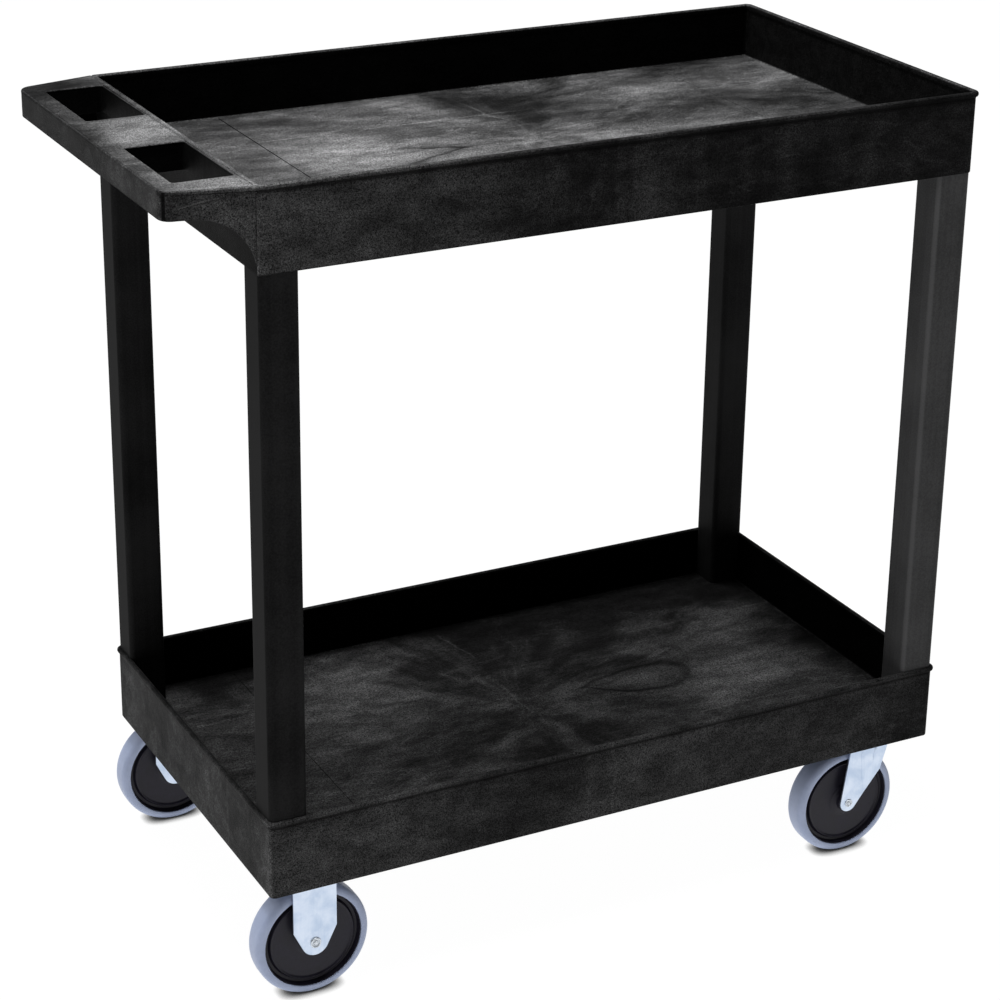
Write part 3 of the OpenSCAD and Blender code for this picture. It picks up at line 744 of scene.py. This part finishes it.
CHEEK_IN = 16 * MM                        # the fork's cheeks, measured from the wheel's middle
CHEEK_OUT = 18.4 * MM
SUNK = 0.1 * MM                           # what sits on a cheek starts this far inside it
PLATE_T = 3 * MM                          # thickness of a caster's mounting plate
AXLE_R = 3.95 * MM
AXLE_END = 25.6 * MM                      # the axle's threaded end, from the wheel's middle
BORE_R = 4.1 * MM                         # the cheeks' holes for the axle
NUT_AF = 13 * MM                          # the axle nut across its flats
NUT_H = 6.5 * MM
RIVET = {"rigid": (6.1 * MM, 1.9 * MM), "swivel": (4.9 * MM, 1.2 * MM)}   # axle head: radius, height


def mirrored(half):
    """Closed (radius, distance) outline from its half on one side of the wheel, in millimetres."""
    return [(r * MM, d * MM) for r, d in half] + [(r * MM, -d * MM) for r, d in reversed(half)]


def tread_profile():
    """Section of the tyre: flat sides, large round shoulders and a flat crown."""
    half = [(54.0, 13.2), (54.4, 13.7), (56.2, 13.8)]
    half += arc(56.2, 6.7, 7.1, 86, 10, 10)
    return mirrored(half + [(63.5, 4.5)])


def core_profile():
    """Section of the wheel's centre: hub, low boss, flat web, ridge, ring channel, and rim."""
    half = [(6.05, 15.2), (6.5, 15.7), (10.3, 15.7), (10.9, 15.4), (11.1, 14.8), (11.6, 11.0), (12.6, 10.2)]
    half += [(17.0, 9.8), (18.2, 9.3), (19.0, 8.4), (20.4, 8.1), (43.8, 8.1), (45.0, 8.5), (45.8, 9.4)]
    half += [(46.6, 9.6), (47.3, 9.0), (47.9, 7.4), (48.8, 6.4), (50.6, 6.2), (51.8, 6.7), (52.5, 8.2)]
    half += [(53.0, 11.4), (53.3, 12.1), (53.7, 12.3), (53.95, 12.2), (54.0, 12.0)]
    return mirrored(half)


def rigid_outline(axle_z, plate_z):
    """Cheek of a rigid fork about its axle: straight sides that taper to a round end."""
    half, rise, r = 24.3 * MM, 15.5 * MM, 15.0 * MM
    a = math.degrees(math.atan2(rise, half) - math.acos(r / math.hypot(half, rise)))
    tip = arc(0, axle_z, r, a, -180 - a, 20)
    knee_z, top = axle_z + rise, plate_z + 0.5 * MM
    return [(half, top), (half, knee_z)] + tip + [(-half, knee_z), (-half, top)]


def swivel_outline(axle_z, trail, top):
    """Cheek of a swivel fork with its axle at u = 0: raked back from the crown."""
    r = 10.5 * MM
    rear, knee = trail - 29 * MM, (trail + 12.4 * MM, axle_z + 34.7 * MM)
    shin = (trail - 8.9 * MM, axle_z + 8 * MM)
    low = math.atan2(shin[1] - axle_z, shin[0]) - math.acos(r / math.hypot(shin[0], shin[1] - axle_z))
    high = math.atan2(top - axle_z, rear) + math.acos(r / math.hypot(rear, top - axle_z))
    tip = arc(0, axle_z, r, math.degrees(low), math.degrees(high) - 360, 22)
    return [(rear, top), (trail + 21.6 * MM, top), knee, shin] + tip


def pressed_line(bm, start, end, place):
    """Half-round ridge pressed into a cheek from start to end in (u, v), fading out at its lower end."""
    width, height, n = 2.2 * MM, 1.0 * MM, 12
    along = (Vector(end) - Vector(start)).normalized()
    loops = []
    for i in range(n + 1):
        t = i / n
        k = 0.05 + 0.95 * min(1, (1 - t) * 4, 0.3 + t * 8)
        u, v = Vector(start).lerp(Vector(end), t)
        loop = []
        for c, s in arc(0, 0, 1, 0, 180, 6):
            aside, up = c * width * k, s * height * k
            loop.append(place(u - along.y * aside, v + along.x * aside, CHEEK_OUT - SUNK + up))
        loops.append(loop)
    loft(bm, loops, cap_start=True, cap_end=True)


def rivet(bm, cx, y, cz, sign, radius, height):
    """Round axle head: a raised ring round a dished face with a small centre."""
    steps = [(1, 0), (1, 0.5), (0.94, 0.85), (0.84, 0.95), (0.74, 0.8), (0.68, 0.35), (0.5, 0.3)]
    steps += [(0.42, 0.45), (0.34, 0.9), (0.2, 1), (0.02, 1)]
    lathe(bm, [(radius * k, sign * height * h) for k, h in steps], (cx, y, cz), n=40, closed=False)


def hex_nut(bm, cx, y, cz, sign, af, height):
    """Chamfered hexagon nut, af across its flats, with a round collar."""
    loops = []
    for t, k in ((0.0, 0.96), (0.05, 1.0), (0.72, 1.0), (0.82, 0.95)):
        corners = arc(cx, cz, k * af / math.sqrt(3), 0, 300, 5)
        loops.append([(x, y + sign * t * height, z) for x, z in corners])
    loft(bm, loops, cap_start=True, cap_end=True)
    collar = ((0.44, 0.8), (0.44, 0.96), (0.4, 1.0), (0.33, 1.0))
    lathe(bm, [(af * k, sign * height * t) for k, t in collar], (cx, y, cz), n=32, closed=False)


def stud(bm, cx, y0, y1, cz, r, sign):
    """Axle shank from y0 to y1 with a threaded end."""
    length, pitch, turns = y1 - y0, 1.2 * MM, 5
    profile = [(r, 0), (r, length - sign * turns * pitch)]
    for i in range(turns):
        d = length - sign * (turns - i) * pitch
        profile += [(r * 0.86, d + sign * pitch / 4), (r, d + sign * pitch * 3 / 4)]
    profile += [(r * 0.7, length)]
    lathe(bm, profile, (cx, y0, cz), n=28, closed=False)


def level(u, v, w):
    """Places a plate flat, as it is drawn."""
    return Vector((u, v, w))


def mount_plate(bm, lo, hi, hole_x):
    """Caster plate with four screw holes, its top face at the top of the box lo..hi."""
    px, py = (lo.x + hi.x) / 2, (lo.y + hi.y) / 2
    hole_y, hole_r = 12.5 * MM, 3.3 * MM
    outline = rounded_loop(px, py, (hi.x - lo.x) / 2, 19 * MM, 4 * MM, 0, 6)
    outlines = [[(x, y) for x, y, _ in outline]]
    for sx in (-1, 1):
        for sy in (-1, 1):
            outlines.append(arc(px + sx * hole_x, py + sy * hole_y, hole_r, 0, 342, 19))
    add_plate(bm, outlines, hi.z - PLATE_T, hi.z, 0.5 * MM, level, 2)


def race(bm, x, y, balls_z, base_z):
    """Half of the ball race: a ring from base_z to just short of the balls' middle, grooved for them.
    The profile is in millimetres."""
    sign = 1 if base_z > balls_z else -1
    near = balls_z / MM + sign * 0.95
    base = base_z / MM
    profile = [(5.3, base), (18.0, base), (18.4, base - sign * 0.7), (18.4, near + sign * 0.4)]
    profile += [(17.6, near), (15.2, near), (13.0, near + sign * 1.4), (10.8, near), (5.3, near)]
    lathe(bm, [(r * MM, z * MM) for r, z in profile], (x, y, 0), axis="Z", n=72)


def fork(kind, side, cx, cy, cz):
    """Both cheeks and, on a rigid caster, its plate; on a swivel caster the crown, race and top plate."""
    plate_node = f"rigid_fork_{side}" if kind == "rigid" else f"swivel_plate_{side}"
    lo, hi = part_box(plate_node)
    screws_lo, screws_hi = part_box(f"{kind}_screws_{side}")
    hole_x = (screws_hi.x - screws_lo.x) / 2 - 6 * MM
    px = (lo.x + hi.x) / 2
    trail = px - cx
    crown_top = LOW_Z - 0.4 * MM
    if kind == "rigid":
        outline = rigid_outline(cz, hi.z - PLATE_T)
    else:
        outline = swivel_outline(cz, trail, crown_top)
    bore = arc(0, cz, BORE_R, 0, 345, 23)
    bm = bmesh.new()
    for sign in (-1, 1):

        def cheek(u, v, w, sign=sign):
            return Vector((cx + u, cy + sign * w, v))

        add_plate(bm, [outline, bore], CHEEK_IN, CHEEK_OUT, 0.45 * MM, cheek, 2)
        if kind == "swivel":
            line_top = cz + 64 * MM
            pressed_line(bm, (trail - 12.3 * MM, line_top), (trail - 9.2 * MM, cz + 17 * MM), cheek)
            pressed_line(bm, (trail + 5.5 * MM, line_top), (trail + 3.5 * MM, cz + 42 * MM), cheek)
    if kind == "rigid":
        mount_plate(bm, lo, hi, hole_x)
        make(f"rigid_bracket_{side}", bm, ZINC, "frame", [plate_node])
        return
    balls_lo, balls_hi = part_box(f"swivel_balls_{side}")
    balls_z = (balls_lo.z + balls_hi.z) / 2
    crown = rounded_loop(px + 3.8 * MM, cy, 17.8 * MM, 17 * MM, 2 * MM, 0, 6)
    add_plate(bm, [[(x, y) for x, y, _ in crown]], crown_top - 2.4 * MM, crown_top, 0.4 * MM, level, 2)
    race(bm, px, cy, balls_z, crown_top - 2.2 * MM)
    make(f"swivel_yoke_{side}", bm, ZINC, f"swivel_{side}", [f"swivel_fork_{side}"])
    bm = bmesh.new()
    mount_plate(bm, lo, hi, hole_x)
    race(bm, px, cy, balls_z, hi.z - PLATE_T + 0.3 * MM)
    make(f"swivel_top_plate_{side}", bm, ZINC, "frame", [plate_node])


def caster(kind, side, out):
    """One caster. out is -1 for the front of the cart and 1 for the back."""
    lo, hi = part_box(f"{kind}_tread_{side}")
    cx, cy, cz = (lo + hi) / 2
    fork_body = "frame" if kind == "rigid" else f"swivel_{side}"
    wheel_body = f"{kind}_wheel_{side}"
    bm = bmesh.new()
    lathe(bm, tread_profile(), (cx, cy, cz), n=144)
    make(f"{kind}_tyre_{side}", bm, TREAD, wheel_body, [f"{kind}_tread_{side}"], 50)
    bm = bmesh.new()
    lathe(bm, core_profile(), (cx, cy, cz), n=120)
    make(f"{kind}_core_{side}", bm, WHEEL, wheel_body, [f"{kind}_wheel_{side}"], 40)
    fork(kind, side, cx, cy, cz)
    bm = bmesh.new()
    radius, height = RIVET[kind]
    rivet(bm, cx, cy + out * (CHEEK_OUT - SUNK), cz, out, radius, height)
    stud(bm, cx, cy + out * CHEEK_OUT, cy - out * AXLE_END, cz, AXLE_R, -out)
    make(f"{kind}_axle_bolt_{side}", bm, FASTENER, fork_body, [f"{kind}_axle_{side}"], 40)
    bm = bmesh.new()
    hex_nut(bm, cx, cy - out * CHEEK_OUT, cz, -out, NUT_AF, NUT_H)
    make(f"{kind}_lock_nut_{side}", bm, FASTENER, fork_body, [f"{kind}_nut_{side}"], 30)


for kind in ("rigid", "swivel"):
    for side, out in (("front", -1), ("back", 1)):
        caster(kind, side, out)

# The CAD nodes that are carried over: screws, axle sleeves, kingpins and balls
for name, obj in frame["nodes"].items():
    if obj.hide_render:
        continue
    obj.data.materials.clear()
    obj.data.materials.append(FASTENER if "screws" in name else BEARING)
    obj.data.polygons.foreach_set("material_index", [0] * len(obj.data.polygons))

# ---------------------------------------------------------------- stage, light, camera


def stage():
    """White glowing floor that lights the cart from below, with a painted contact shadow close under the
    wheels.
    """
    mesh = bpy.data.meshes.new("studio_floor")
    bm = bmesh.new()
    bmesh.ops.create_grid(bm, x_segments=8, y_segments=8, size=30)
    bm.to_mesh(mesh)
    bm.free()
    obj = bpy.data.objects.new("studio_floor", mesh)
    bpy.context.scene.collection.objects.link(obj)
    m, n = material("studio_floor")
    tree = n.tree
    reach, glow, grey = 0.011, 0.99, 0.03
    # Painted contact shadow: the floor's glow drops where a wheel nearly touches it
    occlusion = tree.nodes.new("ShaderNodeAmbientOcclusion")
    occlusion.samples = 12
    occlusion.inputs["Distance"].default_value = reach
    shade = n.span(occlusion.outputs["AO"], 0.3, 0.95, 0.02, 1.0, smooth=False)
    emission = tree.nodes.new("ShaderNodeEmission")
    emission.inputs["Color"].default_value = (1, 1, 1, 1)
    n.put(emission.inputs["Strength"], n.math("MULTIPLY", shade, glow))
    diffuse = tree.nodes.new("ShaderNodeBsdfDiffuse")
    diffuse.inputs["Color"].default_value = (grey, grey, grey, 1)
    add = tree.nodes.new("ShaderNodeAddShader")
    tree.links.new(emission.outputs[0], add.inputs[0])
    tree.links.new(diffuse.outputs[0], add.inputs[1])
    out = tree.nodes.new("ShaderNodeOutputMaterial")
    tree.links.new(add.outputs[0], out.inputs["Surface"])
    mesh.materials.append(m)


def world():
    """Dark surroundings with a broad soft light high up, a little behind the cart, and a faint glow at
    the horizon."""
    w = bpy.data.worlds.new("studio")
    bpy.context.scene.world = w
    w.use_nodes = True
    n = Nodes(w.node_tree)
    d = w.node_tree.nodes.new("ShaderNodeTexCoord").outputs["Generated"]
    high = n.vector("DOT_PRODUCT", d, tuple(Vector((-0.15, 0.35, 0.92)).normalized()))
    low = n.span(n.split(d)[2], 0.25, 0.0, 0.0, 0.14)
    strength = n.math("ADD", low, n.span(high, 0.45, 1.0, 0.04, 1.6))
    bg = w.node_tree.nodes.new("ShaderNodeBackground")
    n.put(bg.inputs["Strength"], strength)
    out = w.node_tree.nodes.new("ShaderNodeOutputWorld")
    w.node_tree.links.new(bg.outputs[0], out.inputs["Surface"])


def area(name, place, target, size, energy):
    """Rectangular lamp at place that shines at target."""
    light = bpy.data.lights.new(name, "AREA")
    light.shape = "RECTANGLE"
    light.size, light.size_y = size
    light.energy = energy
    obj = bpy.data.objects.new(name, light)
    obj.location = place
    obj.rotation_euler = (Vector(target) - Vector(place)).to_track_quat("-Z", "Y").to_euler()
    obj.visible_camera = False
    bpy.context.scene.collection.objects.link(obj)


def camera():
    """The photo's camera. focal is its focal length as a part of the picture's width."""
    yaw, pitch, roll = math.radians(27.11), math.radians(21.53), math.radians(0.61)
    place, focal = (-1.2577, -2.4216, 1.5899), 2.696
    ahead = Vector((math.sin(yaw) * math.cos(pitch), math.cos(yaw) * math.cos(pitch), -math.sin(pitch)))
    right = Vector((math.cos(yaw), -math.sin(yaw), 0))
    up = right.cross(ahead)
    r = right * math.cos(roll) + up * math.sin(roll)
    u = up * math.cos(roll) - right * math.sin(roll)
    data = bpy.data.cameras.new("camera")
    data.sensor_width = 36
    data.lens = data.sensor_width * focal
    data.shift_x = 0.021
    data.shift_y = -0.0808
    data.clip_end = 60
    obj = bpy.data.objects.new("camera", data)
    obj.matrix_world = Matrix.Translation(Vector(place)) @ Matrix((r, u, -ahead)).transposed().to_4x4()
    bpy.context.scene.collection.objects.link(obj)
    bpy.context.scene.camera = obj


stage()
world()
area("overhead", (-0.25, 0.15, 3.4), (0, 0.1, 0.6), (2.2, 0.8), 120)
area("side_fill", (-3.2, 0.4, 0.9), (0, 0, 0.5), (1.8, 1.4), 3)
camera()
bpy.context.scene.view_settings.view_transform = "Standard"
